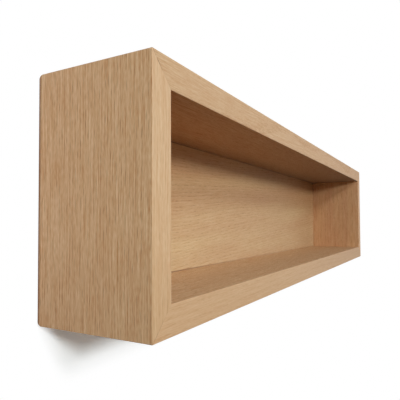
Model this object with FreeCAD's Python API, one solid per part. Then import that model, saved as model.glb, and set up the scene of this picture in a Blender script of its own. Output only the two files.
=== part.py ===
# Long wall shelf of solid oak: a shallow box, open at the front, that hangs on two wall screws.
# Four boards meet in mitres keyed by hidden loose tongues. A thin panel is screwed into rebates
# at the rear, and a steel keyhole plate is let into the rear edge of each end board.
# Frame: x along the shelf, y from the front (negative) to the wall at y = 0, z up. The origin is
# on the wall plane, midway between the entry holes of the two keyhole plates. Millimetres.
import FreeCAD
import Part

import os

from FreeCAD import Placement, Rotation, Vector

# Box
shelf_width = 760.0
shelf_height = 180.0
shelf_depth = 100.0
board_thickness = 21.0

# Eased edges: fine at the front, softer along the rear of the top and the bottom, a fine bevel round each end
front_arris_radius = 0.5
rear_arris_radius = 3.5
end_bevel = 0.5

# Back panel, let into rebates in the top and bottom boards and standing between the end boards
panel_thickness = 4.0
panel_recess = 1.0
panel_edge_gap = 0.5
rebate_width = 9.0

# Loose tongues, one across each mitre, in routed grooves stopped short of the front and the rear
tongue_thickness = 4.0
tongue_width = 16.0
tongue_inset = 13.0
tongue_glue_gap = 0.1
groove_end_margin = 12.0

# Keyhole plates
plate_length = 46.0
plate_width = 14.0
plate_thickness = 1.5
plate_drop = 26.0
plate_fit_gap = 0.25
plate_screw_spacing = 34.0
keyhole_entry_diameter = 10.0
keyhole_slot_width = 5.0
keyhole_travel = 12.0

# Pocket cut behind each plate for the head of the wall screw
pocket_width = 11.0
pocket_depth = 9.0

# Countersunk wood screws
screw_shank_diameter = 3.0
screw_head_diameter = 6.0
screw_fit_gap = 0.05
plate_screw_length = 16.0
panel_screw_length = 14.0
panel_screw_count = 4
panel_screw_end_inset = 35.0

# How far every cutting shape runs past the face that it cuts
overrun = 2.0

# Places worked out from the sizes above
keyhole_middle = keyhole_travel / 2
shelf_top = keyhole_middle + plate_length / 2 + plate_drop
shelf_middle = shelf_top - shelf_height / 2
inner_width = shelf_width - 2 * board_thickness
inner_height = shelf_height - 2 * board_thickness
panel_rear = -panel_recess
panel_front = panel_rear - panel_thickness
plate_place = (shelf_width - board_thickness) / 2
groove_length = shelf_depth - 2 * groove_end_margin

ALONG = Vector(1, 0, 0)
REARWARD = Vector(0, 1, 0)
UP = Vector(0, 0, 1)
UNTURNED = Rotation()
ON_ITS_SIDE = Rotation(REARWARD, 90)


def moved(shape, position, rotation=UNTURNED):
    """Copy of a shape, turned about its own origin and then set at a position."""
    copy = shape.copy()
    copy.Placement = Placement(position, rotation).multiply(copy.Placement)
    return copy


def mirrored(shape, normal):
    """Mirror image of a shape in the shelf's middle plane across the normal."""
    return shape.mirror(UP * shelf_middle, normal)


def edge_near(shape, point):
    """Edge of the shape whose middle lies nearest to the point."""
    return min(shape.Edges, key=lambda edge: edge.CenterOfMass.distanceToPoint(point))


def centred_block(width, height, front, rear):
    """Block centred on x = 0 and z = 0 that reaches from y = front to y = rear."""
    return Part.makeBox(width, rear - front, height, Vector(-width / 2, front, -height / 2))


def slot_prism(length, width, front, rear):
    """Upright round-ended slot shape centred on x = 0 and z = 0, from y = front to y = rear."""
    radius = width / 2
    straight = length / 2 - radius
    foot_left = Vector(-radius, front, -straight)
    head_left = Vector(-radius, front, straight)
    head_right = Vector(radius, front, straight)
    foot_right = Vector(radius, front, -straight)
    head = Part.Arc(head_left, Vector(0, front, length / 2), head_right)
    foot = Part.Arc(foot_right, Vector(0, front, -length / 2), foot_left)
    outline = Part.Wire(
        [
            Part.LineSegment(foot_left, head_left).toShape(),
            head.toShape(),
            Part.LineSegment(head_right, foot_right).toShape(),
            foot.toShape(),
        ]
    )
    return Part.Face(outline).extrude(REARWARD * (rear - front))


def board(length):
    """Mitred board along x, its inner face down on z = 0 and its length measured on the outer face."""
    half_length = length / 2
    half_inside = half_length - board_thickness
    front = -shelf_depth
    blank = Part.makeBox(length, shelf_depth, board_thickness, Vector(-half_length, front, 0))
    front_edges = [edge_near(blank, Vector(0, front, z)) for z in (0, board_thickness)]
    blank = blank.makeFillet(front_arris_radius, front_edges)
    mitred = Part.makePolygon(
        [
            Vector(-half_length, front, board_thickness),
            Vector(half_length, front, board_thickness),
            Vector(half_inside, front, 0),
            Vector(-half_inside, front, 0),
            Vector(-half_length, front, board_thickness),
        ]
    )
    return blank.common(Part.Face(mitred).extrude(REARWARD * shelf_depth))


def eased_outside():
    """Block around the whole box, rounded along the rear of its top and bottom and bevelled round its ends."""
    block = centred_block(shelf_width, shelf_height, -shelf_depth, 0)
    rear_edges = [edge_near(block, Vector(0, 0, level * shelf_height / 2)) for level in (-1, 1)]
    block = block.makeFillet(rear_arris_radius, rear_edges)
    for side in (-1, 1):
        rear = Vector(side * shelf_width / 2, 0, 0)
        block = block.makeChamfer(end_bevel, [edge_near(block, rear)])
    return moved(block, UP * shelf_middle)


def set_in_mitre(shape, side, level):
    """Shape turned so that its x points out along the mitre of this corner and its y goes across it."""
    outward = (ALONG * side + UP * level).normalize()
    across = (ALONG * side - UP * level).normalize()
    inside_corner = Vector(side * inner_width / 2, -shelf_depth / 2, shelf_middle + level * inner_height / 2)
    turned = Rotation(outward, across, outward.cross(across), "XYZ")
    return moved(shape, inside_corner + outward * tongue_inset, turned)


def mitre_groove(side, level):
    """Groove across a corner's mitre, its ends left round by the cutter."""
    half_width = tongue_width / 2 + tongue_glue_gap
    groove = slot_prism(groove_length, tongue_thickness + 2 * tongue_glue_gap, -half_width, half_width)
    return set_in_mitre(groove, side, level)


def mitre_tongue(side, level):
    """Loose tongue of a corner, cut square where the groove's round ends begin."""
    straight = groove_length - tongue_thickness - 2 * tongue_glue_gap
    tongue = centred_block(tongue_thickness, straight, -tongue_width / 2, tongue_width / 2)
    return set_in_mitre(tongue, side, level)


def wood_screw(length):
    """Countersunk screw driven forward along y, its head flush with y = 0 and its shank left plain."""
    head = screw_head_diameter / 2
    shank = screw_shank_diameter / 2
    outline = Part.makePolygon(
        [
            Vector(0, 0, 0),
            Vector(head, 0, 0),
            Vector(shank, shank - head, 0),
            Vector(shank, -length, 0),
            Vector(0, -length, 0),
            Vector(0, 0, 0),
        ]
    )
    return Part.Face(outline).revolve(Vector(), REARWARD, 360)


def screw_hole(length):
    """Countersunk hole that takes such a screw with its fit gap all round."""
    head = screw_head_diameter / 2 + screw_fit_gap
    shank = screw_shank_diameter / 2 + screw_fit_gap
    depth = length + screw_fit_gap
    outline = Part.makePolygon(
        [
            Vector(0, overrun, 0),
            Vector(head, overrun, 0),
            Vector(head, 0, 0),
            Vector(shank, shank - head, 0),
            Vector(shank, -depth, 0),
            Vector(0, -depth, 0),
            Vector(0, overrun, 0),
        ]
    )
    return Part.Face(outline).revolve(Vector(), REARWARD, 360)


def plate_screw_places():
    """Where the two screws of the right keyhole plate stand, the lower one first."""
    middle = Vector(plate_place, 0, keyhole_middle)
    return [middle + UP * (sign * plate_screw_spacing / 2) for sign in (-1, 1)]


def panel_screw_places(level):
    """Where the screws along the panel's upper (1) or lower (-1) edge stand."""
    reach = inner_width / 2 - panel_edge_gap - panel_screw_end_inset
    pitch = 2 * reach / (panel_screw_count - 1)
    height = shelf_middle + level * (inner_height + rebate_width) / 2
    return [Vector(number * pitch - reach, panel_rear, height) for number in range(panel_screw_count)]


def top_board():
    """Top board: two tongue grooves, the rebate for the back panel and its screw holes."""
    blank = moved(board(shelf_width), UP * (shelf_middle + inner_height / 2))
    rebates = centred_block(inner_width, inner_height + 2 * rebate_width, panel_front, overrun)
    cuts = [moved(rebates, UP * shelf_middle)]
    cuts += [mitre_groove(side, 1) for side in (-1, 1)]
    cuts += [moved(screw_hole(panel_screw_length), place) for place in panel_screw_places(1)]
    return blank.cut(cuts).common(eased_outside())


def right_end_board():
    """Right end board: two tongue grooves, the plate's mortise, the pocket and the screw holes."""
    blank = moved(board(shelf_height), Vector(inner_width / 2, 0, shelf_middle), ON_ITS_SIDE)
    middle = Vector(plate_place, 0, keyhole_middle)
    mortise_length = plate_length + 2 * plate_fit_gap
    mortise = slot_prism(mortise_length, plate_width + 2 * plate_fit_gap, -plate_thickness, overrun)
    pocket_length = keyhole_travel + pocket_width
    pocket = slot_prism(pocket_length, pocket_width, -plate_thickness - pocket_depth, overrun)
    cuts = [moved(mortise, middle), moved(pocket, middle)]
    cuts += [mitre_groove(1, level) for level in (-1, 1)]
    cuts += [moved(screw_hole(plate_screw_length), place) for place in plate_screw_places()]
    return blank.cut(cuts).common(eased_outside())


def back_panel():
    """Thin panel that closes the rear, its screw holes countersunk from behind."""
    width = inner_width - 2 * panel_edge_gap
    height = inner_height + 2 * (rebate_width - panel_edge_gap)
    panel = moved(centred_block(width, height, panel_front, panel_rear), UP * shelf_middle)
    places = panel_screw_places(1) + panel_screw_places(-1)
    return panel.cut([moved(screw_hole(panel_screw_length), place) for place in places])


def right_keyhole_plate():
    """Steel plate, flush with the rear: an entry hole for the screw's head and a slot rising from it."""
    middle = Vector(plate_place, 0, keyhole_middle)
    plate = moved(slot_prism(plate_length, plate_width, -plate_thickness, 0), middle)
    through = -plate_thickness - overrun
    mouth = Vector(plate_place, through, 0)
    entry = Part.makeCylinder(keyhole_entry_diameter / 2, overrun - through, mouth, REARWARD)
    slot_length = keyhole_travel + keyhole_slot_width
    slot = moved(slot_prism(slot_length, keyhole_slot_width, through, overrun), middle)
    holes = [moved(screw_hole(plate_screw_length), place) for place in plate_screw_places()]
    return plate.cut([entry, slot] + holes)


def right_plate_screws():
    """The two screws that hold the right keyhole plate."""
    screw = wood_screw(plate_screw_length)
    return Part.makeCompound([moved(screw, place) for place in plate_screw_places()])


def back_panel_screws():
    """The two rows of screws that hold the back panel in its rebates."""
    screw = wood_screw(panel_screw_length)
    places = panel_screw_places(1) + panel_screw_places(-1)
    return Part.makeCompound([moved(screw, place) for place in places])


def shelf():
    """Every piece of the shelf by its name."""
    pieces = {
        "top_board": top_board(),
        "right_end_board": right_end_board(),
        "back_panel": back_panel(),
        "back_panel_screws": back_panel_screws(),
        "right_keyhole_plate": right_keyhole_plate(),
        "right_plate_screws": right_plate_screws(),
    }
    pieces["bottom_board"] = mirrored(pieces["top_board"], UP)
    for name in ("end_board", "keyhole_plate", "plate_screws"):
        pieces["left_" + name] = mirrored(pieces["right_" + name], ALONG)
    for side_name, side in (("left", -1), ("right", 1)):
        for level_name, level in (("top", 1), ("bottom", -1)):
            pieces["mitre_tongue_" + level_name + "_" + side_name] = mitre_tongue(side, level)
    return pieces


os.makedirs("parts", exist_ok=True)
for piece_name, piece_shape in shelf().items():
    piece_shape.exportStep(os.path.join("parts", piece_name + ".step"))
    print(piece_name, "solids:", len(piece_shape.Solids), "valid:", piece_shape.isValid())
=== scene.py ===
"""Looks of a long wall shelf of solid oak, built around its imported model.

The shelf is a shallow open box of four mitred boards with a thin panel behind, hung on a white wall.
Places are in metres in the model's own frame: x along the shelf, y towards the wall at y = 0, z up.
A name that ends in _mm holds millimetres.
"""

import logging
import math
from dataclasses import dataclass, field
from enum import Enum

import bmesh
import bpy
from bpy.types import Material, Node, NodeSocket, NodeTree, Object
from mathutils import Matrix, Vector
from mathutils.geometry import tessellate_polygon


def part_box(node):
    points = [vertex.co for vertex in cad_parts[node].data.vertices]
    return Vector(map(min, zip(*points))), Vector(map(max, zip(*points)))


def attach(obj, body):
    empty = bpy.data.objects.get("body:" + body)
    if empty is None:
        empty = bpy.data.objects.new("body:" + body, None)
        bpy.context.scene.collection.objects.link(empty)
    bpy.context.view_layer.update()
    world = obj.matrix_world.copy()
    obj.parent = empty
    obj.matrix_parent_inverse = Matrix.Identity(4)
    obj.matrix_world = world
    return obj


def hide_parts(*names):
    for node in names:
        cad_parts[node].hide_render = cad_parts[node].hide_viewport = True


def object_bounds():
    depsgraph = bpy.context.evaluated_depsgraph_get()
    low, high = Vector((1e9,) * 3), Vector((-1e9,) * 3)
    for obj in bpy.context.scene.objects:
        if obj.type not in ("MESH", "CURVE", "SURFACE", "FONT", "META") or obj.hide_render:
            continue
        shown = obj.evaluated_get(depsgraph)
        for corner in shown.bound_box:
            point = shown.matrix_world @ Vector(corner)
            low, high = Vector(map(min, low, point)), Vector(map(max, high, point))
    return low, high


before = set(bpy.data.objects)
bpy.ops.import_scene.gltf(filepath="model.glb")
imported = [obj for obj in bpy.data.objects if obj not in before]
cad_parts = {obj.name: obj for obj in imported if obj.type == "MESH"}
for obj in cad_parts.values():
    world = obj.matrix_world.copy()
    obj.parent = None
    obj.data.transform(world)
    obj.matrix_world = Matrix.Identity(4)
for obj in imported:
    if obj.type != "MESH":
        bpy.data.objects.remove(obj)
CAD_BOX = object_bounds()
MM = 0.001
WHITE = (1.0, 1.0, 1.0, 1.0)
LOG = logging.getLogger("shelf")


def linear(hex_colour: str) -> tuple[float, float, float, float]:
    """Turns an sRGB colour into the linear one that shaders take, by the sRGB standard's own curve.

    Args:
        hex_colour: The colour as "#rrggbb".

    Returns:
        Linear red, green and blue, and an alpha of 1.
    """
    channels = [int(hex_colour[start:start + 2], 16) / 255 for start in (1, 3, 5)]
    straight = [c / 12.92 if c <= 0.04045 else ((c + 0.055) / 1.055) ** 2.4 for c in channels]
    return (straight[0], straight[1], straight[2], 1.0)


def add_node(tree: NodeTree, kind: str, inputs: dict | None = None, **settings: object) -> Node:
    """Adds one shader node, sets it up and links it.

    Args:
        tree: The node tree that gets the node.
        kind: The node's type name, such as "ShaderNodeMath".
        inputs: What each input gets, by its name or number: a value, a socket to link, or a node,
            whose first output in use is then linked.
        **settings: The node's own properties.

    Returns:
        The new node.
    """
    node = tree.nodes.new(kind)
    for name, value in settings.items():
        setattr(node, name, value)
    for key, value in (inputs or {}).items():
        if isinstance(value, Node):
            value = next(output for output in value.outputs if output.enabled)
        if isinstance(value, NodeSocket):
            tree.links.new(value, node.inputs[key])
        else:
            node.inputs[key].default_value = value
    return node


def empty_material(name: str) -> tuple[Material, NodeTree]:
    """Makes a material that has no nodes yet.

    Args:
        name: The material's name.

    Returns:
        The material and its node tree.
    """
    material = bpy.data.materials.new(name)
    material.use_nodes = True
    material.node_tree.nodes.clear()
    return material, material.node_tree


def dress(obj: Object, material: Material) -> None:
    """Gives an object one material, in every slot that it has.

    Args:
        obj: A piece of the shelf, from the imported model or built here.
        material: Its finish.
    """
    if not obj.data.materials:
        obj.data.materials.append(material)
    for number in range(len(obj.material_slots)):
        obj.material_slots[number].material = material


def mesh_object(name: str, mesh: bmesh.types.BMesh) -> Object:
    """Turns a finished mesh into a flat-shaded object of the scene.

    Args:
        name: The object's name.
        mesh: The mesh, in metres in the shelf's frame. It is freed here.

    Returns:
        The new object.
    """
    bmesh.ops.recalc_face_normals(mesh, faces=mesh.faces)
    data = bpy.data.meshes.new(name)
    mesh.to_mesh(data)
    mesh.free()
    data.polygons.foreach_set("use_smooth", [False] * len(data.polygons))
    obj = bpy.data.objects.new(name, data)
    bpy.context.scene.collection.objects.link(obj)
    return obj


@dataclass(frozen=True)
class Fade:
    """Run of a value from start to end that becomes one from low to high, held level beyond both."""

    start: float
    end: float
    low: float = 0.0
    high: float = 1.0

    def over(self, value: Node | NodeSocket) -> dict:
        """Gives the inputs of a Map Range node that lays the run over a value."""
        return {"Value": value, 1: self.start, 2: self.end, 3: self.low, 4: self.high}


class Cut(Enum):
    """How a piece lies in its log: the turn that brings its grain to x and its rings' depth to y."""

    LEVEL_BOARD = (0.0, 0.0, 0.0)
    UPRIGHT_BOARD = (0.0, math.pi / 2, 0.0)
    UPRIGHT_SHEET = (-math.pi / 2, 0.0, 0.0)


@dataclass(frozen=True)
class Bay:
    """The open space inside the box, from whose corners the mitres run outwards."""

    half_width_mm: float
    half_height_mm: float
    middle_mm: float

    @classmethod
    def of_shelf(cls) -> "Bay":
        """Reads the bay's size from the boxes of the boards around it.

        Returns:
            The bay.
        """
        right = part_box("right_end_board")[0].x
        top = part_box("top_board")[0].z
        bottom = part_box("bottom_board")[1].z
        return cls(right / MM, (top - bottom) / 2 / MM, (top + bottom) / 2 / MM)

    def past_faces(self, tree: NodeTree, place: Node) -> tuple[NodeSocket, NodeSocket]:
        """How far a point lies outside the bay's faces, in millimetres; inside the bay it is less than 0.

        Args:
            tree: The node tree that gets the nodes.
            place: The point, in millimetres in the shelf's frame.

        Returns:
            The distance past the nearer end face, and the one past the nearer level face.
        """
        middle = (0.0, 0.0, self.middle_mm)
        half = (self.half_width_mm, 0.0, self.half_height_mm)
        centred = add_node(tree, "ShaderNodeVectorMath", {0: place, 1: middle}, operation="SUBTRACT")
        outward = add_node(tree, "ShaderNodeVectorMath", {0: centred}, operation="ABSOLUTE")
        past = add_node(tree, "ShaderNodeVectorMath", {0: outward, 1: half}, operation="SUBTRACT")
        parts = add_node(tree, "ShaderNodeSeparateXYZ", {0: past})
        return parts.outputs["X"], parts.outputs["Z"]


@dataclass(frozen=True)
class Drift:
    """Slow change of colour across a board, mostly painted light and shade: each tint multiplies the wood's
    colour at its own end.
    """

    axis: str
    start_mm: float
    end_mm: float
    start_tint: str = "#ffffff"
    end_tint: str = "#ffffff"

    def tint(self, tree: NodeTree, place: Node) -> Node:
        """Works out the tint.

        Args:
            tree: The node tree that gets the nodes.
            place: The place in the shelf's frame, in millimetres.

        Returns:
            The tint at that place.
        """
        parts = add_node(tree, "ShaderNodeSeparateXYZ", {0: place})
        run = Fade(self.start_mm, self.end_mm)
        share = add_node(tree, "ShaderNodeMapRange", run.over(parts.outputs[self.axis]))
        tints = {"Factor": share, "A": linear(self.start_tint), "B": linear(self.end_tint)}
        return add_node(tree, "ShaderNodeMix", tints, data_type="RGBA")


@dataclass(frozen=True)
class JointLinesAndShade:
    """Dark joint lines and painted shade lines: the mitres, the panel's edge and the arris at the wall.

    The eye sees a mitre come and go in patches: it is nearly shut at the bay's corner and opens
    outwards, and more so higher up. The line round the panel is partly its joint and partly painted
    shade in the corner where the panel meets the boards, darkest at its left. The band along the rear
    arris, where it turns to the wall, is painted shade alone.
    """

    # tone is the colour of the joint lines and of the painted shade lines alike.
    tone: str = "#6f3f1a"
    mitre_depth: float = 0.65
    mitre_width_mm: Fade = Fade(0.25, 0.7, 1.0, 0.0)
    mitre_opening_mm: Fade = Fade(6.0, 14.0, 0.2, 1.0)
    mitre_height_mm: Fade = Fade(-90.0, 20.0, 0.5, 1.0)
    patches: Fade = Fade(0.35, 0.6, 0.1, 1.0)
    patches_per_mm: float = 0.3
    # The panel's edge line: its joint, darkened by painted shade in the corner, fading towards the right.
    panel_depth: float = 0.0
    panel_edge_mm: tuple[float, float] = (-1.6, -0.9)
    panel_length_mm: Fade = Fade(-260.0, -60.0, 1.0, 0.35)
    # Painted shade: a dark band along the rear arris, where it turns to the wall, on faces that don't look
    # straight at it.
    wall_shade_depth: float = 0.95
    wall_shade_edge_mm: tuple[float, float] = (-3.0, -0.8)
    off_wall: Fade = Fade(0.9, 0.97, 1.0, 0.0)

    def mitres(self, tree: NodeTree, place: Node, beside: NodeSocket, above: NodeSocket) -> Node:
        """Draws the mitre lines.

        Args:
            tree: The node tree that gets the nodes.
            place: The place in the shelf's frame, in millimetres.
            beside: How far the place lies past the bay's nearer end face.
            above: How far it lies past the bay's nearer level face.

        Returns:
            How dark the place is, from 0 to 1.
        """
        parts = add_node(tree, "ShaderNodeSeparateXYZ", {0: place})
        offset = add_node(tree, "ShaderNodeMath", {0: beside, 1: above}, operation="SUBTRACT")
        across = add_node(tree, "ShaderNodeMath", {0: offset}, operation="ABSOLUTE")
        clouds = {"Vector": place, "Scale": self.patches_per_mm, "Detail": 1.0}
        cloud = add_node(tree, "ShaderNodeTexNoise", clouds)
        dark = add_node(tree, "ShaderNodeMapRange", self.mitre_width_mm.over(across))
        opening = add_node(tree, "ShaderNodeMapRange", self.mitre_opening_mm.over(beside))
        patch = add_node(tree, "ShaderNodeMapRange", self.patches.over(cloud))
        higher = add_node(tree, "ShaderNodeMapRange", self.mitre_height_mm.over(parts.outputs["Z"]))
        for share in (opening, patch, higher, self.mitre_depth):
            dark = add_node(tree, "ShaderNodeMath", {0: dark, 1: share}, operation="MULTIPLY")
        return dark

    def darkness(self, tree: NodeTree, place: Node, rearward: NodeSocket) -> Node:
        """Draws every joint line, and the painted shade along the panel's edge and the rear arris.

        Args:
            tree: The node tree that gets the nodes.
            place: The place in the shelf's frame, in millimetres.
            rearward: How far the face turns to the wall, from -1 to 1.

        Returns:
            How dark the place is, from 0 to 1.
        """
        beside, above = Bay.of_shelf().past_faces(tree, place)
        parts = add_node(tree, "ShaderNodeSeparateXYZ", {0: place})
        inside = add_node(tree, "ShaderNodeMath", {0: beside, 1: above}, operation="MAXIMUM")
        # Joint line at the panel's edge, with painted shade in the corner where it meets the boards.
        panel_edge = Fade(*self.panel_edge_mm, high=self.panel_depth)
        edge = add_node(tree, "ShaderNodeMapRange", panel_edge.over(inside))
        along = add_node(tree, "ShaderNodeMapRange", self.panel_length_mm.over(parts.outputs["X"]))
        panel = add_node(tree, "ShaderNodeMath", {0: edge, 1: along}, operation="MULTIPLY")
        # Painted shade along the rear arris, where the shelf meets the wall.
        rear_edge = Fade(*self.wall_shade_edge_mm, high=self.wall_shade_depth)
        arris = add_node(tree, "ShaderNodeMapRange", rear_edge.over(parts.outputs["Y"]))
        turned = add_node(tree, "ShaderNodeMapRange", self.off_wall.over(rearward))
        rear = add_node(tree, "ShaderNodeMath", {0: arris, 1: turned}, operation="MULTIPLY")
        darkest = self.mitres(tree, place, beside, above)
        for line in (panel, rear):
            darkest = add_node(tree, "ShaderNodeMath", {0: darkest, 1: line}, operation="MAXIMUM")
        return darkest


@dataclass(frozen=True)
class OiledOak:
    """European oak, planed and sanded along the grain under one coat of matt hard-wax oil.

    The eye sees fine streaks along the grain, slightly darker pore dashes crowded in the early wood of
    the growth rings, slow bands of yellower and pinker wood, and a dull soft sheen. Faces that look to
    the front show less of the figure, and the broad faces take a tint of their own: painted light and
    shade, for how the light falls on each. The slow drifts are mostly painted light and shade too, and
    faces turned down get painted shade. Fibres and pores are drawn two to three times as wide as
    real ones, which would be too fine to show from a step away.
    """

    name: str
    cut: Cut
    yellow: str
    pink: str
    start_mm: tuple[float, float, float]
    drifts: tuple[Drift, ...] = ()
    # Drifts laid only on faces turned down: painted shade on the undersides.
    painted_underside_shade: tuple[Drift, ...] = ()
    joints: JointLinesAndShade = JointLinesAndShade()
    slope: float = 0.0
    pith_mm: tuple[float, float] = (-420.0, 60.0)
    ring_mm: float = 1.9
    ring_depth: float = 0.07
    late_wood_lift: float = 1 / 3
    early_wood_share: float = 0.7
    season_rate: float = 0.31
    season_rings: float = 1.2
    pore_size_mm: tuple[float, float] = (8.0, 0.75)
    pore_reach: tuple[float, float] = (0.05, 0.45)
    pore_edge: float = 0.2
    pore_depth: float = 0.45
    pore_tone: str = "#855523"
    fibre_size_mm: tuple[float, float] = (20.0, 0.6)
    fibre_run: tuple[float, float] = (0.2, 0.8)
    fibre_depth: float = 0.46
    fleck_size_mm: tuple[float, float] = (4.0, 0.6)
    fleck_share: float = 0.35
    band_size_mm: tuple[float, float] = (190.0, 14.0)
    band_run: tuple[float, float] = (0.25, 0.75)
    band_depth: float = 0.05
    hue_run: Fade = Fade(0.32, 0.68)
    wander_size_mm: tuple[float, float] = (260.0, 55.0)
    wander_mm: float = 5.0
    # Painted light: faces that look to the front show less figure, standing in for the brighter light on
    # them.
    front_figure: float = 0.5
    figure_tint: tuple[float, float, float] = (0.5, 1.0, 1.55)
    broad_face_light_tint: tuple[float, float, float] = (0.97, 0.94, 0.92)
    off_front: Fade = Fade(-0.9, -0.4)
    facing_down: Fade = Fade(-0.9, -0.2, 1.0, 0.0)
    relief_mm: float = 0.1
    relief_strength: float = 0.3
    pore_sink: float = 0.5
    roughness: float = 0.55
    pore_roughness: float = 0.2
    ior: float = 1.5

    def noise(self, tree: NodeTree, log: Node, size_mm: tuple[float, float], detail: float) -> Node:
        """Soft noise whose patches lie along the grain.

        Args:
            tree: The node tree that gets the nodes.
            log: The place in the log, in millimetres.
            size_mm: The patches' length along the grain and their width across it.
            detail: How many finer layers are laid over it.

        Returns:
            The noise node.
        """
        along, across = size_mm
        shares = (1 / along, 1 / across, 1 / across)
        stretched = add_node(tree, "ShaderNodeVectorMath", {0: log, 1: shares}, operation="MULTIPLY")
        return add_node(tree, "ShaderNodeTexNoise", {"Vector": stretched, "Scale": 1.0, "Detail": detail})

    def fibres(self, tree: NodeTree, log: Node) -> Node:
        """Bundles of fibre: long thin streaks with shorter flecks between them.

        Args:
            tree: The node tree that gets the nodes.
            log: The place in the log, in millimetres.

        Returns:
            How pale the wood is there, around 0.5.
        """
        streaks = self.noise(tree, log, self.fibre_size_mm, 0.0)
        flecks = self.noise(tree, log, self.fleck_size_mm, 0.0)
        added = add_node(tree, "ShaderNodeMath", {0: flecks, 1: streaks}, operation="SUBTRACT")
        mixed = {0: added, 1: self.fleck_share, 2: streaks}
        return add_node(tree, "ShaderNodeMath", mixed, operation="MULTIPLY_ADD")

    def place_in_log(self, tree: NodeTree, place: Node) -> Node:
        """Turns a place in the shelf into one in the log, whose fibres then wander slowly sideways.

        Args:
            tree: The node tree that gets the nodes.
            place: The place in the shelf's frame, in millimetres.

        Returns:
            The place in the log in millimetres, with x along the grain.
        """
        tilt = {"Vector": place, "Angle": self.slope}
        sloped = add_node(tree, "ShaderNodeVectorRotate", tilt, rotation_type="Y_AXIS")
        turn = {"Vector": sloped, "Location": self.start_mm, "Rotation": self.cut.value}
        laid = add_node(tree, "ShaderNodeMapping", turn)
        slow = self.noise(tree, laid, self.wander_size_mm, 1.0)
        around_zero = {0: slow.outputs["Color"], 1: (0.5, 0.5, 0.5)}
        centred = add_node(tree, "ShaderNodeVectorMath", around_zero, operation="SUBTRACT")
        sideways = {0: centred, 1: (0.0, self.wander_mm, self.wander_mm)}
        wander = add_node(tree, "ShaderNodeVectorMath", sideways, operation="MULTIPLY")
        return add_node(tree, "ShaderNodeVectorMath", {0: laid, 1: wander}, operation="ADD")

    def early_wood(self, tree: NodeTree, log: Node) -> Node:
        """Porous early wood: starts sharply in every growth ring and fades into the late wood.

        Args:
            tree: The node tree that gets the nodes.
            log: The place in the log, in millimetres.

        Returns:
            1 where a ring starts, falling to 0 in its late wood.
        """
        section = {0: log, 1: (0.0, 1.0, 1.0)}
        across = add_node(tree, "ShaderNodeVectorMath", section, operation="MULTIPLY")
        from_pith = {0: across, 1: (0.0, *self.pith_mm)}
        radius = add_node(tree, "ShaderNodeVectorMath", from_pith, operation="DISTANCE")
        years = add_node(tree, "ShaderNodeMath", {0: radius, 1: self.ring_mm}, operation="DIVIDE")
        weather = {"W": years, "Scale": self.season_rate, "Detail": 1.0}
        seasons = add_node(tree, "ShaderNodeTexNoise", weather, noise_dimensions="1D")
        shifted = {0: seasons, 1: self.season_rings, 2: years}
        uneven = add_node(tree, "ShaderNodeMath", shifted, operation="MULTIPLY_ADD")
        phase = add_node(tree, "ShaderNodeMath", {0: uneven}, operation="FRACT")
        early = Fade(0.0, self.early_wood_share, 1.0, 0.0)
        return add_node(tree, "ShaderNodeMapRange", early.over(phase), interpolation_type="SMOOTHSTEP")

    def pores(self, tree: NodeTree, log: Node, early: Node) -> Node:
        """Cut vessels: short dashes along the grain, crowded in the early wood and rarer in the late.

        Args:
            tree: The node tree that gets the nodes.
            log: The place in the log, in millimetres.
            early: How much the place is early wood.

        Returns:
            1 in a pore and 0 beside it.
        """
        along, across = self.pore_size_mm
        shares = (1 / along, 1 / across, 1 / across)
        cells = add_node(tree, "ShaderNodeVectorMath", {0: log, 1: shares}, operation="MULTIPLY")
        vessel = add_node(tree, "ShaderNodeTexVoronoi", {"Vector": cells, "Scale": 1.0})
        least, added = self.pore_reach
        reach = add_node(tree, "ShaderNodeMath", {0: early, 1: added, 2: least}, operation="MULTIPLY_ADD")
        inside = add_node(tree, "ShaderNodeMath", {0: reach, 1: vessel}, operation="SUBTRACT")
        return add_node(tree, "ShaderNodeMapRange", Fade(0.0, self.pore_edge).over(inside))

    def grain(self, tree: NodeTree, bands: Node, fibres: Node, early: Node, figure: Node) -> Node:
        """Light and dark of the fibres, the growth rings and the slow bands.

        Args:
            tree: The node tree that gets the nodes.
            bands: The slow bands.
            fibres: How pale the fibres are.
            early: How much the place is early wood.
            figure: How strongly the figure shows.

        Returns:
            What multiplies the wood's colour, around 1 in red, green and blue.
        """
        streak = Fade(*self.fibre_run, -self.fibre_depth, self.fibre_depth)
        band = Fade(*self.band_run, self.band_depth, -self.band_depth)
        ring = Fade(0.0, 1.0, self.ring_depth * self.late_wood_lift, -self.ring_depth)
        lines = add_node(tree, "ShaderNodeMapRange", streak.over(fibres))
        for run in (ring.over(early), band.over(bands)):
            line = add_node(tree, "ShaderNodeMapRange", run)
            lines = add_node(tree, "ShaderNodeMath", {0: lines, 1: line}, operation="ADD")
        shown = add_node(tree, "ShaderNodeMath", {0: lines, 1: figure}, operation="MULTIPLY")
        tinted = {0: self.figure_tint, "Scale": shown}
        drawn = add_node(tree, "ShaderNodeVectorMath", tinted, operation="SCALE")
        return add_node(tree, "ShaderNodeVectorMath", {0: drawn, 1: WHITE[:3]}, operation="ADD")

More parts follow.
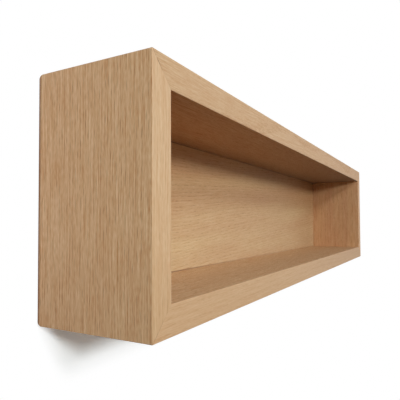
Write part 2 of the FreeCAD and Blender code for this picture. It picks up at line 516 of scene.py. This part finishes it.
    def colour(
        self, tree: NodeTree, place: Node, normal: NodeSocket, pore: Node, grain: tuple[Node, Node, Node]
    ) -> Node:
        """Colours the wood, from its ground colour through grain, pores and drifts of tone and painted light,
        to the joint lines and painted shade lines.

        Args:
            tree: The node tree that gets the nodes.
            place: The place in the shelf's frame, in millimetres.
            normal: The way that the face looks.
            pore: 1 in a pore and 0 beside it.
            grain: The slow bands, the fibres and the early wood.

        Returns:
            The colour.
        """
        bands, fibres, early = grain
        facing = add_node(tree, "ShaderNodeSeparateXYZ", {0: normal})
        broad = add_node(tree, "ShaderNodeMapRange", self.off_front.over(facing.outputs["Y"]))
        figure = add_node(tree, "ShaderNodeMapRange", Fade(0.0, 1.0, self.front_figure).over(broad))
        hue = add_node(tree, "ShaderNodeMapRange", self.hue_run.over(bands))
        tones = {"Factor": hue, "A": linear(self.yellow), "B": linear(self.pink)}
        ground = add_node(tree, "ShaderNodeMix", tones, data_type="RGBA")
        # Painted light and shade: broad faces take their own tint, apart from the front faces, for how the
        # light falls on each; 'planed' mixes the two by the way a face looks.
        sanded = {0: ground, 1: self.broad_face_light_tint}
        deeper = add_node(tree, "ShaderNodeVectorMath", sanded, operation="MULTIPLY")
        faces = {"Factor": broad, "A": ground, "B": deeper}
        planed = add_node(tree, "ShaderNodeMix", faces, data_type="RGBA")
        figured = {0: planed, 1: self.grain(tree, bands, fibres, early, figure)}
        wood = add_node(tree, "ShaderNodeVectorMath", figured, operation="MULTIPLY")
        deep = add_node(tree, "ShaderNodeMath", {0: pore, 1: self.pore_depth}, operation="MULTIPLY")
        filled = add_node(tree, "ShaderNodeMath", {0: deep, 1: figure}, operation="MULTIPLY")
        pored = {"Factor": filled, "A": wood, "B": linear(self.pore_tone)}
        wood = add_node(tree, "ShaderNodeMix", pored, data_type="RGBA")
        # Drifts of tone and painted light over every face, then painted shade on faces turned down.
        down = add_node(tree, "ShaderNodeMapRange", self.facing_down.over(facing.outputs["Z"]))
        for share, drifts in ((1.0, self.drifts), (down, self.painted_underside_shade)):
            for drift in drifts:
                drifted = {"Factor": share, "A": wood, "B": drift.tint(tree, place)}
                wood = add_node(tree, "ShaderNodeMix", drifted, data_type="RGBA", blend_type="MULTIPLY")
        dark = self.joints.darkness(tree, place, facing.outputs["Y"])
        jointed = {"Factor": dark, "A": wood, "B": linear(self.joints.tone)}
        return add_node(tree, "ShaderNodeMix", jointed, data_type="RGBA")

    def material(self) -> Material:
        """Builds the finish.

        Returns:
            The material, a solid texture that runs on round every edge.
        """
        material, tree = empty_material(self.name)
        here = add_node(tree, "ShaderNodeTexCoord")
        in_mm = {0: here.outputs["Object"], "Scale": 1 / MM}
        place = add_node(tree, "ShaderNodeVectorMath", in_mm, operation="SCALE")
        log = self.place_in_log(tree, place)
        early = self.early_wood(tree, log)
        pore = self.pores(tree, log, early)
        bands = self.noise(tree, log, self.band_size_mm, 2.0)
        fibres = self.fibres(tree, log)
        colour = self.colour(tree, place, here.outputs["Normal"], pore, (bands, fibres, early))
        duller = {0: pore, 1: self.pore_roughness, 2: self.roughness}
        rough = add_node(tree, "ShaderNodeMath", duller, operation="MULTIPLY_ADD")
        sunk = {0: pore, 1: -self.pore_sink, 2: fibres}
        relief = add_node(tree, "ShaderNodeMath", sunk, operation="MULTIPLY_ADD")
        raised = {"Strength": self.relief_strength, "Distance": self.relief_mm * MM, "Height": relief}
        bump = add_node(tree, "ShaderNodeBump", raised)
        oiled = {"Base Color": colour, "Roughness": rough, "IOR": self.ior, "Normal": bump}
        surface = add_node(tree, "ShaderNodeBsdfPrincipled", oiled)
        add_node(tree, "ShaderNodeOutputMaterial", {"Surface": surface})
        return material


@dataclass(frozen=True)
class RawPlywood:
    """Birch plywood strip, sawn and left raw: pale, with plies of long and of end grain in turn.

    The specks follow the strip's own box, 900 each way, and not millimetres as the other patterns do. At
    under a tenth of a millimetre they are finer than the eye sees, which leaves it only the plies.
    """

    name: str = "raw_birch_plywood"
    long_grain: str = "#dcc19a"
    end_grain: str = "#b8905f"
    ply_mm: float = 1.3
    specks_each_way: float = 900.0
    speck_tone: Fade = Fade(0.3, 0.7, 0.9, 1.08)
    roughness: float = 0.75

    def material(self) -> Material:
        """Builds the finish, its plies square to the mitre of every corner.

        Returns:
            The material.
        """
        material, tree = empty_material(self.name)
        here = add_node(tree, "ShaderNodeTexCoord")
        middle = (0.0, 0.0, Bay.of_shelf().middle_mm * MM)
        from_middle = {0: here.outputs["Object"], 1: middle}
        centred = add_node(tree, "ShaderNodeVectorMath", from_middle, operation="SUBTRACT")
        outward = add_node(tree, "ShaderNodeVectorMath", {0: centred}, operation="ABSOLUTE")
        pair_of_plies = 2 * self.ply_mm * MM
        across = math.sqrt(0.5) / pair_of_plies
        through = {0: outward, 1: (across, 0.0, across)}
        plies = add_node(tree, "ShaderNodeVectorMath", through, operation="DOT_PRODUCT")
        phase = add_node(tree, "ShaderNodeMath", {0: plies}, operation="FRACT")
        turn = add_node(tree, "ShaderNodeMath", {0: phase, 1: 0.5}, operation="GREATER_THAN")
        fibres = add_node(tree, "ShaderNodeTexNoise", {"Scale": self.specks_each_way, "Detail": 2.0})
        speckled = add_node(tree, "ShaderNodeMapRange", self.speck_tone.over(fibres))
        grains = {"Factor": turn, "A": linear(self.long_grain), "B": linear(self.end_grain)}
        colour = add_node(tree, "ShaderNodeMix", grains, data_type="RGBA")
        toned = {0: colour, "Scale": speckled}
        shown = add_node(tree, "ShaderNodeVectorMath", toned, operation="SCALE")
        sawn = {"Base Color": shown, "Roughness": self.roughness}
        surface = add_node(tree, "ShaderNodeBsdfPrincipled", sawn)
        add_node(tree, "ShaderNodeOutputMaterial", {"Surface": surface})
        return material


@dataclass(frozen=True)
class ZincPlatedSteel:
    """Pressed mild steel under bright zinc plating: a cool grey metal with a faint mottled bloom."""

    name: str = "zinc_plated_steel"
    bright: str = "#c3c7cb"
    bloom: str = "#9ea3a9"
    bloom_mm: float = 3.0
    bloom_run: Fade = Fade(0.4, 0.7)
    grit_mm: float = 0.25
    grit_height_mm: float = 0.02
    grit_strength: float = 0.2
    roughness: Fade = Fade(0.0, 1.0, 0.22, 0.46)
    metallic: float = 1.0

    def material(self) -> Material:
        """Builds the finish.

        Returns:
            The material.
        """
        material, tree = empty_material(self.name)
        here = add_node(tree, "ShaderNodeTexCoord").outputs["Object"]
        mottled = {"Vector": here, "Scale": 1 / (self.bloom_mm * MM), "Detail": 3.0}
        clouds = add_node(tree, "ShaderNodeTexNoise", mottled)
        gritty = {"Vector": here, "Scale": 1 / (self.grit_mm * MM), "Detail": 1.0}
        grit = add_node(tree, "ShaderNodeTexNoise", gritty)
        share = add_node(tree, "ShaderNodeMapRange", self.bloom_run.over(clouds))
        greys = {"Factor": share, "A": linear(self.bright), "B": linear(self.bloom)}
        colour = add_node(tree, "ShaderNodeMix", greys, data_type="RGBA")
        rough = add_node(tree, "ShaderNodeMapRange", self.roughness.over(clouds))
        raised = {"Strength": self.grit_strength, "Distance": self.grit_height_mm * MM, "Height": grit}
        bump = add_node(tree, "ShaderNodeBump", raised)
        plated = {"Base Color": colour, "Metallic": self.metallic, "Roughness": rough, "Normal": bump}
        surface = add_node(tree, "ShaderNodeBsdfPrincipled", plated)
        add_node(tree, "ShaderNodeOutputMaterial", {"Surface": surface})
        return material


@dataclass
class Boards:
    """The four solid oak boards and the oak-veneered panel behind them."""

    finishes: dict[str, OiledOak] = field(default_factory=lambda: {
        "left_end_board": OiledOak(
            name="oiled_oak_left_end",
            cut=Cut.UPRIGHT_BOARD,
            yellow="#e4bc8f",
            pink="#e3bb8f",
            start_mm=(310.0, 40.0, 0.0),
            drifts=(
                Drift("Y", -100.0, 0.0, "#f0f4f5", "#f8faff"),
                Drift("Z", -125.0, -60.0, "#f3f0ec", "#ffffff"),
            ),
            broad_face_light_tint=(0.96, 0.89, 0.81),
            fibre_size_mm=(28.0, 0.5),
            pore_size_mm=(10.0, 0.65),
        ),
        "right_end_board": OiledOak(
            name="oiled_oak_right_end",
            cut=Cut.UPRIGHT_BOARD,
            yellow="#d5aa7b",
            pink="#d4a77c",
            start_mm=(1310.0, -260.0, 20.0),
            # Painted shade: darker deeper in the bay, away from its open front.
            drifts=(Drift("Y", -95.0, -70.0, "#ffffff", "#f7f6f6"),),
            ring_depth=0.04,
            pore_depth=0.3,
            fibre_depth=0.3,
        ),
        "top_board": OiledOak(
            name="oiled_oak_top",
            cut=Cut.LEVEL_BOARD,
            yellow="#d4ac7e",
            pink="#d3aa7e",
            start_mm=(-900.0, 410.0, 35.0),
            # Painted light: a little darker towards the right, where the light falls off.
            drifts=(Drift("X", -380.0, 380.0, "#f6fbff", "#f2ede9"),),
            # Painted shade on the underside: much darker towards the right, and darker and cooler towards the
            # wall.
            painted_underside_shade=(
                Drift("X", -380.0, 380.0, "#fce9e1", "#9f9c9c"),
                Drift("Y", -45.0, 0.0, "#ffffff", "#e7f3f7"),
            ),
            band_size_mm=(400.0, 12.0),
        ),
        "bottom_board": OiledOak(
            name="oiled_oak_bottom",
            cut=Cut.LEVEL_BOARD,
            yellow="#dbb285",
            pink="#dab084",
            start_mm=(2400.0, 120.0, -15.0),
            drifts=(
                # Painted light: darker towards the right, where the light falls off, and darker towards the
                # front.
                Drift("X", -380.0, 380.0, "#f8fcff", "#eeebe7"),
                Drift("Y", -60.0, -30.0, "#f8f8f8", "#ffffff"),
            ),
            joints=JointLinesAndShade(mitre_depth=0.4),
            broad_face_light_tint=(1.02, 1.02, 1.01),
            band_size_mm=(400.0, 12.0),
            front_figure=0.32,
        ),
        "back_panel": OiledOak(
            name="oiled_oak_veneer_panel",
            cut=Cut.UPRIGHT_SHEET,
            yellow="#e3bb86",
            pink="#e0b585",
            start_mm=(5200.0, 0.0, 0.0),
            drifts=(
                # Painted light and shade: cooler low down and warmer higher up, a lift in the half shade
                # under the top board, darker close under it, and darker towards the right.
                Drift("Z", -104.0, 34.0, "#f0f7ff", "#f8f1ea"),
                Drift("Z", -2.0, 9.0, "#ffffff", "#f6f6f6"),
                Drift("Z", -40.0, -18.0, "#f4f6f9", "#ffffff"),
                Drift("X", -380.0, 380.0, "#fcfeff", "#f3f1f0"),
            ),
            joints=JointLinesAndShade(mitre_depth=0.0, panel_depth=0.9, wall_shade_depth=0.0),
            slope=math.radians(4.0),
            pith_mm=(-900.0, 30.0),
            ring_mm=4.0,
            ring_depth=0.04,
            pore_depth=0.3,
            fibre_depth=0.22,
            broad_face_light_tint=(1.0, 1.0, 1.0),
            band_size_mm=(240.0, 26.0),
            band_depth=0.1,
            wander_mm=16.0,
            front_figure=1.0,
        ),
    })

    def build(self) -> None:
        """Dresses each board and the panel in its own cut of oak."""
        for node, finish in self.finishes.items():
            dress(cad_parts[node], finish.material())
            LOG.info("%s: %s", node, finish.name)


@dataclass
class Tongues:
    """The loose tongues, sealed inside the mitres."""

    finish: RawPlywood = RawPlywood()

    def build(self) -> None:
        """Dresses the four tongues."""
        material = self.finish.material()
        for node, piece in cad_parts.items():
            if node.startswith("mitre_tongue"):
                dress(piece, material)
                LOG.info("%s: %s", node, self.finish.name)


@dataclass
class WoodScrew:
    """Countersunk cross-head wood screw, driven forward along y with its head flush with y = 0."""

    length_mm: float
    head_diameter_mm: float = 5.9
    shank_diameter_mm: float = 2.9
    root_diameter_mm: float = 1.9
    pitch_mm: float = 1.35
    crest_sharpness: float = 2.6
    plain_length_mm: float = 3.0
    tip_length_mm: float = 3.2
    rim_mm: float = 0.2
    recess_span_mm: float = 3.3
    recess_arm_mm: float = 0.75
    recess_arm_end: float = 0.8
    recess_inner_corner: float = 1.35
    recess_depth_mm: float = 1.5
    recess_taper: float = 0.35
    sides: int = 28
    rows_per_turn: int = 7

    def radius(self, angle: float, depth_mm: float) -> float:
        """Radius of the body at an angle and a depth below the head's top, thread included.

        Args:
            angle: The angle round the screw, in radians.
            depth_mm: The depth below the head's top.

        Returns:
            The radius in millimetres.
        """
        head = self.head_diameter_mm / 2
        shank = self.shank_diameter_mm / 2
        root = self.root_diameter_mm / 2
        cone = head - max(0.0, depth_mm - self.rim_mm)
        if cone > shank:
            return min(head, cone)
        if depth_mm < head - shank + self.rim_mm + self.plain_length_mm:
            return shank
        turns = depth_mm / self.pitch_mm - angle / (2 * math.pi)
        crest = max(0.0, 1 - self.crest_sharpness * abs(turns - round(turns)))
        taper = min(1.0, (self.length_mm - depth_mm) / self.tip_length_mm)
        return (root + (shank - root) * crest) * taper

    def cross(self, scale: float) -> list[Vector]:
        """Outline of the drive recess, its four arms splayed a little towards the centre.

        Args:
            scale: Its size, as a share of the recess at the head's top.

        Returns:
            The outline's corners in millimetres, in the plane of the head.
        """
        reach = self.recess_span_mm / 2 * scale
        half = self.recess_arm_mm / 2 * scale
        end = half * self.recess_arm_end
        inner = half * self.recess_inner_corner
        corners = []
        for quarter in range(4):
            turn = Matrix.Rotation(quarter * math.pi / 2, 2)
            corners += [turn @ Vector(point) for point in ((reach, -end), (reach, end), (inner, inner))]
        return corners

    def add_to(self, mesh: bmesh.types.BMesh, place: Vector, turn: float) -> None:
        """Adds the screw to a mesh.

        Args:
            mesh: The mesh that holds a group of screws.
            place: The centre of the head's top, in metres.
            turn: How far the screw was driven round, in radians.
        """

        def vertex(x_mm: float, depth_mm: float, z_mm: float) -> bmesh.types.BMVert:
            """Adds a vertex at a depth below the head's top."""
            spun = Matrix.Rotation(turn, 2) @ Vector((x_mm, z_mm))
            return mesh.verts.new(place + Vector((spun.x, -depth_mm, spun.y)) * MM)

        step = self.pitch_mm / self.rows_per_turn
        shoulder = (self.head_diameter_mm - self.shank_diameter_mm) / 2 + self.rim_mm
        threaded = self.length_mm - shoulder
        depths = [0.0, self.rim_mm, shoulder]
        depths += [shoulder + step * row for row in range(1, int(threaded / step))]
        angles = [2 * math.pi * side / self.sides for side in range(self.sides)]
        rings = []
        for depth in depths:
            radii = [self.radius(angle, depth) for angle in angles]
            rings.append([vertex(r * math.cos(a), depth, r * math.sin(a)) for r, a in zip(radii, angles)])
        for upper, lower in zip(rings, rings[1:]):
            for side in range(self.sides):
                after = (side + 1) % self.sides
                mesh.faces.new((upper[side], upper[after], lower[after], lower[side]))
        point = vertex(0.0, self.length_mm, 0.0)
        for side in range(self.sides):
            mesh.faces.new((rings[-1][side], rings[-1][(side + 1) % self.sides], point))
        mouth = [vertex(corner.x, 0.0, corner.y) for corner in self.cross(1.0)]
        floor = [vertex(corner.x, self.recess_depth_mm, corner.y) for corner in self.cross(self.recess_taper)]
        for corner in range(len(mouth)):
            after = (corner + 1) % len(mouth)
            mesh.faces.new((mouth[corner], mouth[after], floor[after], floor[corner]))
        mesh.faces.new(floor)
        rim = rings[0] + mouth
        outlines = [[Vector((v.co.x, v.co.z, 0.0)) for v in loop] for loop in (rings[0], mouth)]
        for triangle in tessellate_polygon(outlines):
            mesh.faces.new([rim[corner] for corner in triangle])


@dataclass
class Screws:
    """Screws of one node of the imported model, given their threads, tips and drive recesses."""

    node: str
    length_mm: float
    head_reach_mm: float = 7.0
    flush_mm: float = 0.1
    first_turn: float = 0.3
    turn_step: float = 0.9

    def places(self) -> list[Vector]:
        """Finds each screw of the node.

        Returns:
            The centre of each head's top, in metres.
        """
        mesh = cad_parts[self.node].data
        top = max(vertex.co.y for vertex in mesh.vertices)
        heads: list[list[Vector]] = []
        for vertex in mesh.vertices:
            if top - vertex.co.y > self.flush_mm * MM:
                continue
            near = [head for head in heads if (head[0] - vertex.co).length < self.head_reach_mm * MM]
            if near:
                near[0].append(vertex.co.copy())
            else:
                heads.append([vertex.co.copy()])
        middles = []
        for head in heads:
            xs = [point.x for point in head]
            zs = [point.z for point in head]
            middles.append(Vector(((min(xs) + max(xs)) / 2, top, (min(zs) + max(zs)) / 2)))
        return sorted(middles, key=lambda middle: (round(middle.x, 4), middle.z))

    def build(self, material: Material) -> None:
        """Builds the group of screws in place of the plain ones.

        Args:
            material: The plating that all the fittings share.
        """
        mesh = bmesh.new()
        screw = WoodScrew(self.length_mm)
        places = self.places()
        for number, place in enumerate(places):
            screw.add_to(mesh, place, self.turn_step * number + self.first_turn)
        group = mesh_object(self.node + "_threaded", mesh)
        dress(group, material)
        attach(group, "root")
        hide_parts(self.node)
        LOG.info("%s: %d screws", group.name, len(places))


@dataclass
class Fittings:
    """The keyhole plates and every screw."""

    finish: ZincPlatedSteel = ZincPlatedSteel()
    screw_lengths_mm: dict[str, float] = field(default_factory=lambda: {
        "back_panel_screws": 14.0,
        "left_plate_screws": 16.0,
        "right_plate_screws": 16.0,
    })

    def build(self) -> None:
        """Plates the hangers and puts the detailed screws in."""
        material = self.finish.material()
        for node in ("left_keyhole_plate", "right_keyhole_plate"):
            dress(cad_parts[node], material)
            LOG.info("%s: %s", node, self.finish.name)
        for node, length in self.screw_lengths_mm.items():
            Screws(node, length).build(material)


@dataclass
class Lamp:
    """A square studio lamp with a soft front, turned towards the shelf."""

    name: str
    place: tuple[float, float, float]
    size: float
    level: float

    def build(self, target: Vector) -> None:
        """Sets the lamp up, with the power that lays its level on a surface facing the front.

        Args:
            target: The point that it is turned towards.
        """
        data = bpy.data.lights.new(self.name, "AREA")
        lamp = bpy.data.objects.new(self.name, data)
        bpy.context.scene.collection.objects.link(lamp)
        lamp.location = self.place
        aim = target - lamp.location
        lamp.rotation_mode = "QUATERNION"
        lamp.rotation_quaternion = aim.to_track_quat("-Z", "Y")
        data.shape = "SQUARE"
        data.size = self.size
        data.energy = self.level * math.pi ** 2 * aim.length_squared / aim.normalized().y
        lamp.visible_camera = False


@dataclass
class Studio:
    """White wall that the shelf hangs on, pale floor, two lamps in front and a tall window on the right.

    A lamp's level is the light that it lays on a surface that faces the front, where 1 shows a colour
    as it is written. The window's and the ground's levels are their own brightness. To the eye the wall
    is white, apart from a zone below the shelf's left end, where it shows the shelf's shadow, lifted by
    painted light: a faint glow that only the eye meets. The zone's left edge leans to the right on its way
    down.
    """

    key: Lamp = field(default_factory=lambda: Lamp("key_lamp", (-1.35, -2.4, 0.57), 0.35, 0.332))
    high: Lamp = field(default_factory=lambda: Lamp("high_lamp", (-0.9, -1.9, 1.25), 0.4, 0.248))
    window: float = 1.39
    window_top_share: float = 0.45
    window_top: tuple[float, float] = (0.35, 0.6)
    window_side: Fade = Fade(0.2, 0.5)
    ground: tuple[float, float, float] = (0.9, 0.45, 0.095)
    horizon: Fade = Fade(-0.05, 0.15)
    wall_reach: float = 6.0
    wall_height: float = 3.0
    wall_gap: float = 0.4 * MM
    wall_paint: str = "#f3f3f1"
    wall_shown: tuple[float, float, float] = (1.31, 1.42, 1.45)
    painted_shadow_lift: tuple[float, float, float] = (0.107, 0.119, 0.137)
    shade_top_mm: float = 3.0
    shade_below_mm: tuple[float, float] = (27.0, 52.0)
    shade_along_mm: tuple[float, float, float, float] = (-4.0, 16.0, 120.0, 220.0)
    shade_lean: float = 0.5
    floor_below: float = 1.3
    floor_paint: str = "#332d28"
    floor_shown: tuple[float, float, float] = (1.3, 1.3, 1.3)

    def seen_by_eye(self, tree: NodeTree) -> Node:
        """Tells the rays that show a surface from those that only carry its light.

        Args:
            tree: The node tree that gets the nodes.

        Returns:
            1 for the camera's rays and for mirrored and transmitted ones.
        """
        ray = add_node(tree, "ShaderNodeLightPath")
        seen = ray.outputs["Is Camera Ray"]
        for way in ("Is Glossy Ray", "Is Transmission Ray"):
            seen = add_node(tree, "ShaderNodeMath", {0: seen, 1: ray.outputs[way]}, operation="MAXIMUM")
        return seen

    def matt(self, tree: NodeTree, paint: str, shown: tuple[float, float, float]) -> Node:
        """Makes matt paint that looks whiter to the eye than to the light.

        Args:
            tree: The node tree that gets the nodes.
            paint: The paint's own colour, which the light meets.
            shown: How bright a fully lit patch looks to the eye, where 1 is white, in red, green and blue.

        Returns:
            Its surface.
        """
        sides = {"Factor": self.seen_by_eye(tree), "A": linear(paint), "B": (*shown, 1.0)}
        colour = add_node(tree, "ShaderNodeMix", sides, data_type="RGBA")
        return add_node(tree, "ShaderNodeBsdfDiffuse", {"Color": colour})

    def floor_material(self) -> Material:
        """Matt floor, dark to the light so that it keeps the shelf's underside dim, and pale to the eye.

        Returns:
            The material.
        """
        material, tree = empty_material("matt_pale_floor_paint")
        surface = self.matt(tree, self.floor_paint, self.floor_shown)
        add_node(tree, "ShaderNodeOutputMaterial", {"Surface": surface})
        return material

    def shade(self, tree: NodeTree) -> Node:
        """Zone of the wall that shows shadow: below the shelf's left end, leaning to the right.

        Args:
            tree: The node tree that gets the nodes.

        Returns:
            1 in the zone, fading to 0 round it.
        """
        low = CAD_BOX[0]
        near, far = (low.z - reach * MM for reach in self.shade_below_mm)
        start, full, fading, end = (low.x + reach * MM for reach in self.shade_along_mm)
        here = add_node(tree, "ShaderNodeTexCoord")
        parts = add_node(tree, "ShaderNodeSeparateXYZ", {0: here.outputs["Object"]})
        across, level = parts.outputs["X"], parts.outputs["Z"]
        height = add_node(tree, "ShaderNodeMath", {0: level, 1: low.z}, operation="SUBTRACT")
        leant = {0: height, 1: self.shade_lean, 2: across}
        leaning = add_node(tree, "ShaderNodeMath", leant, operation="MULTIPLY_ADD")
        under = {0: level, 1: low.z + self.shade_top_mm * MM}
        shade = add_node(tree, "ShaderNodeMath", under, operation="LESS_THAN")
        below = Fade(far, near).over(level)
        after = Fade(start, full).over(leaning)
        before = Fade(fading, end, 1.0, 0.0).over(across)
        for run in (below, after, before):
            share = add_node(tree, "ShaderNodeMapRange", run, interpolation_type="SMOOTHSTEP")
            shade = add_node(tree, "ShaderNodeMath", {0: shade, 1: share}, operation="MULTIPLY")
        return shade

    def wall_material(self) -> Material:
        """Matt white wall, which shows shade only in its zone and lets all through from behind.

        Returns:
            The material.
        """
        material, tree = empty_material("matt_white_wall_paint")
        eye = self.seen_by_eye(tree)
        open_wall = add_node(tree, "ShaderNodeMath", {0: 1.0, 1: self.shade(tree)}, operation="SUBTRACT")
        bare = add_node(tree, "ShaderNodeMath", {0: open_wall, 1: eye}, operation="MULTIPLY")
        # Painted light: a faint glow that only the eye meets, which lifts the shadow in the zone.
        shadow_lift = add_node(tree, "ShaderNodeVectorMath", {0: self.painted_shadow_lift, "Scale": eye}, operation="SCALE")
        glow = add_node(tree, "ShaderNodeEmission", {"Color": shadow_lift, "Strength": 1.0})
        matt = self.matt(tree, self.wall_paint, self.wall_shown)
        painted = add_node(tree, "ShaderNodeAddShader", {0: matt, 1: glow})
        white = add_node(tree, "ShaderNodeEmission", {"Color": WHITE, "Strength": 1.0})
        front = add_node(tree, "ShaderNodeMixShader", {0: bare, 1: painted, 2: white})
        behind = add_node(tree, "ShaderNodeNewGeometry").outputs["Backfacing"]
        through = add_node(tree, "ShaderNodeBsdfTransparent")
        both = add_node(tree, "ShaderNodeMixShader", {0: behind, 1: front, 2: through})
        add_node(tree, "ShaderNodeOutputMaterial", {"Surface": both})
        return material

    def sheet(self, name: str, corners: list[tuple[float, float, float]], material: Material) -> None:
        """Adds one flat sheet of the studio.

        Args:
            name: The object's name.
            corners: Its corners in metres, anticlockwise as seen from the side that shows.
            material: Its paint.
        """
        data = bpy.data.meshes.new(name)
        data.from_pydata(corners, [], [tuple(range(len(corners)))])
        sheet = bpy.data.objects.new(name, data)
        bpy.context.scene.collection.objects.link(sheet)
        data.materials.append(material)

    def room(self) -> None:
        """Makes the surroundings: a bright window high on the right over warm ground, white to the eye."""
        world = bpy.data.worlds.new("room")
        bpy.context.scene.world = world
        world.use_nodes = True
        tree = world.node_tree
        tree.nodes.clear()
        way = add_node(tree, "ShaderNodeTexCoord")
        parts = add_node(tree, "ShaderNodeSeparateXYZ", {0: way.outputs["Generated"]})
        across, level = parts.outputs["X"], parts.outputs["Z"]
        panes = Fade(*self.window_top, self.window, self.window * self.window_top_share)
        window = add_node(tree, "ShaderNodeMapRange", panes.over(level), interpolation_type="SMOOTHSTEP")
        height = self.horizon.over(level)
        sky = add_node(tree, "ShaderNodeMapRange", height, interpolation_type="SMOOTHSTEP")
        outside = {"Factor": sky, "A": (*self.ground, 1.0), "B": window}
        lit = add_node(tree, "ShaderNodeMix", outside, data_type="RGBA")
        inwards = self.window_side.over(across)
        right = add_node(tree, "ShaderNodeMapRange", inwards, interpolation_type="SMOOTHSTEP")
        side = add_node(tree, "ShaderNodeVectorMath", {0: lit, "Scale": right}, operation="SCALE")
        rays = {"Factor": self.seen_by_eye(tree), "A": side, "B": WHITE}
        colour = add_node(tree, "ShaderNodeMix", rays, data_type="RGBA")
        light = add_node(tree, "ShaderNodeBackground", {"Color": colour})
        add_node(tree, "ShaderNodeOutputWorld", {"Surface": light}, is_active_output=True)

    def build(self) -> None:
        """Builds the wall, the floor, the lamps and the room."""
        low, high = CAD_BOX
        floor = low.z - self.floor_below
        reach = self.wall_reach
        wall_y = high.y + self.wall_gap
        wall = [(-reach, wall_y, floor), (reach, wall_y, floor)]
        wall += [(reach, wall_y, self.wall_height), (-reach, wall_y, self.wall_height)]
        self.sheet("wall", wall, self.wall_material())
        ground = [(-reach, -reach, floor), (reach, -reach, floor), (reach, reach, floor)]
        ground.append((-reach, reach, floor))
        self.sheet("floor", ground, self.floor_material())
        target = (low + high) / 2
        for lamp in (self.key, self.high):
            lamp.build(target)
            LOG.info("%s: level %.2f", lamp.name, lamp.level)
        self.room()
        bpy.context.scene.view_settings.view_transform = "Standard"


@dataclass
class Viewpoint:
    """The camera, solved from the edges of the box in the reference view."""

    place: tuple[float, float, float] = (-0.58988, -0.25058, -0.05212)
    heading: float = math.radians(60.561)
    pitch: float = math.radians(1.867)
    roll: float = math.radians(-0.238)
    lens: float = 38.53
    sensor: float = 36.0
    shift: tuple[float, float] = (0.00279, 0.02208)
    nearest: float = 0.01

    def build(self) -> None:
        """Sets the camera up: heading turns from +Y towards +X and pitch rises from level."""
        data = bpy.data.cameras.new("camera")
        camera = bpy.data.objects.new("camera", data)
        bpy.context.scene.collection.objects.link(camera)
        data.lens = self.lens
        data.sensor_width = self.sensor
        data.shift_x, data.shift_y = self.shift
        data.clip_start = self.nearest
        turn = Matrix.Rotation(-self.heading, 4, "Z") @ Matrix.Rotation(math.pi / 2 + self.pitch, 4, "X")
        camera.matrix_world = Matrix.Translation(self.place) @ turn @ Matrix.Rotation(self.roll, 4, "Z")
        bpy.context.scene.camera = camera


def main() -> None:
    """Dresses the shelf and sets the studio and the camera around it."""
    logging.basicConfig(level=logging.INFO, format="%(message)s")
    Boards().build()
    Tongues().build()
    Fittings().build()
    Studio().build()
    Viewpoint().build()


if __name__ == "__main__":
    main()
